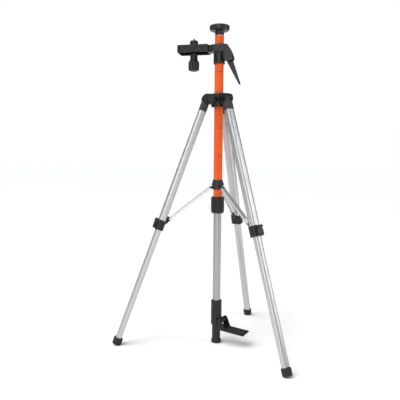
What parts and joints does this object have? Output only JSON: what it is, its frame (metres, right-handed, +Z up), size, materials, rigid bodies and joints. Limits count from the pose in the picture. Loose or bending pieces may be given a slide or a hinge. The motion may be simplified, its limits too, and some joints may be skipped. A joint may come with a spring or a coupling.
{
  "type": "laser level support pole on tripod",
  "caption": "Telescoping orange support pole on a folding aluminium tripod, with a sliding swivel bracket for a laser level and a sprung foot with pedal.",
  "frame": {"origin": "middle of the pole's base, on the floor", "axes": "+Z up the pole; the legs stand at azimuths 60, 180 and 300 degrees from +X, counted towards +Y"},
  "size_m": [0.5874, 0.673, 1.165],
  "materials": {
    "hub_plastic": "glass-filled nylon, fine texture",
    "zinc_steel": "zinc plated",
    "black_steel": "blackened",
    "knob_plastic": "moulded nylon",
    "guide_plastic": "moulded acetal",
    "knuckle_plastic": "glass-filled nylon, fine texture",
    "clamp_plastic": "moulded nylon, satin",
    "lever_plastic": "moulded nylon, satin",
    "leg_aluminium": "satin anodised extrusion",
    "foot_rubber": "moulded rubber",
    "brace_aluminium": "pressed channel, satin",
    "orange_coating": "semi-gloss coating with printed scale",
    "pole_aluminium": "satin anodised tube",
    "cap_plastic": "moulded, semi-gloss rim",
    "pad_rubber": "rubber pad",
    "sleeve_plastic": "grooved grip sleeve",
    "foot_plastic": "moulded nylon",
    "spring_steel": "drawn wire",
    "pedal_plastic": "moulded nylon",
    "bracket_plastic": "moulded nylon, satin edges"
  },
  "bodies": {
    "hub": {"hub_casting": "hub_plastic", "hub_pivot_bolts": "black_steel"},
    "hub_knob": {"hub_lock_knob": "knob_plastic", "hub_lock_screw": "black_steel"},
    "collar": {"spreader_collar": "guide_plastic", "collar_pins": "black_steel"},
    "leg_1_upper": {"leg_1_knuckle": "knuckle_plastic", "leg_1_upper_tube": "leg_aluminium", "leg_1_clamp": "clamp_plastic", "leg_1_lever_pin": "black_steel"},
    "leg_1_lever": {"leg_1_lever": "lever_plastic"},
    "leg_1_lower": {"leg_1_guide": "guide_plastic", "leg_1_lower_tube": "leg_aluminium", "leg_1_foot": "foot_rubber"},
    "brace_1": {"brace_1": "brace_aluminium", "brace_1_rivets": "zinc_steel"},
    "leg_2_upper": {"leg_2_knuckle": "knuckle_plastic", "leg_2_upper_tube": "leg_aluminium", "leg_2_clamp": "clamp_plastic", "leg_2_lever_pin": "black_steel"},
    "leg_2_lever": {"leg_2_lever": "lever_plastic"},
    "leg_2_lower": {"leg_2_guide": "guide_plastic", "leg_2_lower_tube": "leg_aluminium", "leg_2_foot": "foot_rubber"},
    "brace_2": {"brace_2": "brace_aluminium", "brace_2_rivets": "zinc_steel"},
    "leg_3_upper": {"leg_3_knuckle": "knuckle_plastic", "leg_3_upper_tube": "leg_aluminium", "leg_3_clamp": "clamp_plastic", "leg_3_lever_pin": "black_steel"},
    "leg_3_lever": {"leg_3_lever": "lever_plastic"},
    "leg_3_lower": {"leg_3_guide": "guide_plastic", "leg_3_lower_tube": "leg_aluminium", "leg_3_foot": "foot_rubber"},
    "brace_3": {"brace_3": "brace_aluminium", "brace_3_rivets": "zinc_steel"},
    "outer_pole": {"outer_tube": "orange_coating", "top_insert": "pole_aluminium", "lock_collet": "guide_plastic"},
    "cap": {"cap_body": "cap_plastic", "cap_stud": "zinc_steel", "cap_pad": "pad_rubber"},
    "twist_lock": {"twist_lock_sleeve": "sleeve_plastic"},
    "inner_pole": {"inner_tube": "pole_aluminium", "inner_tube_plug": "guide_plastic", "foot_sleeve": "foot_plastic", "pedal_pin": "black_steel", "foot_spring": "spring_steel"},
    "plunger": {"plunger_tube": "foot_plastic", "base_foot": "foot_rubber"},
    "pedal": {"foot_pedal": "pedal_plastic", "pedal_tread": "pad_rubber"},
    "bracket_slider": {"bracket_liner": "guide_plastic"},
    "bracket": {"bracket_platform": "bracket_plastic", "clamp_shoe": "guide_plastic", "lever_axle": "black_steel", "mount_seat": "bracket_plastic"},
    "bracket_lever": {"bracket_lever": "lever_plastic"},
    "mount_screw": {"mount_knob": "knob_plastic", "mount_stud": "zinc_steel"}
  },
  "joints": [
    {"name": "hub_knob_turn", "type": "hinge", "parent": "hub", "child": "hub_knob", "pos_m": [-0.02463, -0.03152, 0.901], "axis": [-0.6157, -0.788, 0], "continuous": true},
    {"name": "leg_1_fold", "type": "hinge", "parent": "hub", "child": "leg_1_upper", "pos_m": [0.022, 0.0381, 0.904], "axis": [-0.866, 0.5, 0], "range_deg": [0, 16]},
    {"name": "leg_1_extend", "type": "slide", "parent": "leg_1_upper", "child": "leg_1_lower", "axis": [-0.171, -0.2962, 0.9397], "range_m": [0, 0.31]},
    {"name": "leg_1_lever_flip", "type": "hinge", "parent": "leg_1_upper", "child": "leg_1_lever", "pos_m": [0.1126, 0.19504, 0.46607], "axis": [0.866, -0.5, 0], "range_deg": [0, 100]},
    {"name": "leg_2_fold", "type": "hinge", "parent": "hub", "child": "leg_2_upper", "pos_m": [-0.044, 0, 0.904], "axis": [0, -1, 0], "range_deg": [0, 16]},
    {"name": "leg_2_extend", "type": "slide", "parent": "leg_2_upper", "child": "leg_2_lower", "axis": [0.342, 0, 0.9397], "range_m": [0, 0.31]},
    {"name": "leg_2_lever_flip", "type": "hinge", "parent": "leg_2_upper", "child": "leg_2_lever", "pos_m": [-0.22521, 0, 0.46607], "axis": [0, 1, 0], "range_deg": [0, 100]},
    {"name": "leg_3_fold", "type": "hinge", "parent": "hub", "child": "leg_3_upper", "pos_m": [0.022, -0.0381, 0.904], "axis": [0.866, 0.5, 0], "range_deg": [0, 16]},
    {"name": "leg_3_extend", "type": "slide", "parent": "leg_3_upper", "child": "leg_3_lower", "axis": [-0.171, 0.2962, 0.9397], "range_m": [0, 0.31]},
    {"name": "leg_3_lever_flip", "type": "hinge", "parent": "leg_3_upper", "child": "leg_3_lever", "pos_m": [0.1126, -0.19504, 0.46607], "axis": [-0.866, -0.5, 0], "range_deg": [0, 100]},
    {"name": "collar_slide", "type": "slide", "parent": "hub", "child": "collar", "axis": [0, 0, 1], "range_m": [0, 0.05183]},
    {"name": "brace_1_swing", "type": "hinge", "parent": "collar", "child": "brace_1", "pos_m": [0.0135, 0.02338, 0.584], "axis": [-0.866, 0.5, 0], "range_deg": [0, 45.08]},
    {"name": "brace_2_swing", "type": "hinge", "parent": "collar", "child": "brace_2", "pos_m": [-0.027, 0, 0.584], "axis": [0, -1, 0], "range_deg": [0, 45.08]},
    {"name": "brace_3_swing", "type": "hinge", "parent": "collar", "child": "brace_3", "pos_m": [0.0135, -0.02338, 0.584], "axis": [0.866, 0.5, 0], "range_deg": [0, 45.08]},
    {"name": "pole_raise", "type": "slide", "parent": "hub", "child": "outer_pole", "axis": [0, 0, 1], "range_m": [-0.06, 0.02]},
    {"name": "cap_turn", "type": "hinge", "parent": "outer_pole", "child": "cap", "pos_m": [0, 0, 1.14], "axis": [0, 0, 1], "continuous": true},
    {"name": "twist_lock_turn", "type": "hinge", "parent": "outer_pole", "child": "twist_lock", "pos_m": [0, 0, 0.52], "axis": [0, 0, 1], "range_deg": [0, 120]},
    {"name": "pole_telescope", "type": "slide", "parent": "outer_pole", "child": "inner_pole", "axis": [0, 0, -1], "range_m": [-0.32, 0.11]},
    {"name": "foot_plunge", "type": "slide", "parent": "inner_pole", "child": "plunger", "axis": [0, 0, 1], "range_m": [0, 0.025], "stiffness_N_per_m": 2000, "springref_m": -0.03, "deforming": ["foot_spring"]},
    {"name": "pedal_fold", "type": "hinge", "parent": "inner_pole", "child": "pedal", "pos_m": [0.0212, -0.01325, 0.09], "axis": [-0.5299, -0.848, 0], "range_deg": [0, 90]},
    {"name": "bracket_slide", "type": "slide", "parent": "outer_pole", "child": "bracket_slider", "axis": [0, 0, -1], "range_m": [-0.025, 0.09]},
    {"name": "bracket_swivel", "type": "hinge", "parent": "bracket_slider", "child": "bracket", "pos_m": [0, 0, 1.06], "axis": [0, 0, 1], "continuous": true},
    {"name": "bracket_lever_swing", "type": "hinge", "parent": "bracket", "child": "bracket_lever", "pos_m": [0.03519, -0.01143, 1.052], "axis": [-0.309, -0.9511, 0], "range_deg": [0, 95]},
    {"name": "mount_screw_turn", "type": "hinge", "parent": "bracket", "child": "mount_screw", "pos_m": [-0.0894, 0.02905, 1.03], "axis": [0, 0, 1], "continuous": true}
  ],
  "couplings": [
    {"joint": "leg_2_fold", "follows": "leg_1_fold", "ratio": 1},
    {"joint": "leg_3_fold", "follows": "leg_1_fold", "ratio": 1},
    {"joint": "collar_slide", "follows": "leg_1_fold", "m_per_rad": 0.18488},
    {"joint": "brace_1_swing", "follows": "leg_1_fold", "ratio": 2.8146},
    {"joint": "brace_2_swing", "follows": "leg_1_fold", "ratio": 2.8146},
    {"joint": "brace_3_swing", "follows": "leg_1_fold", "ratio": 2.8146}
  ]
}
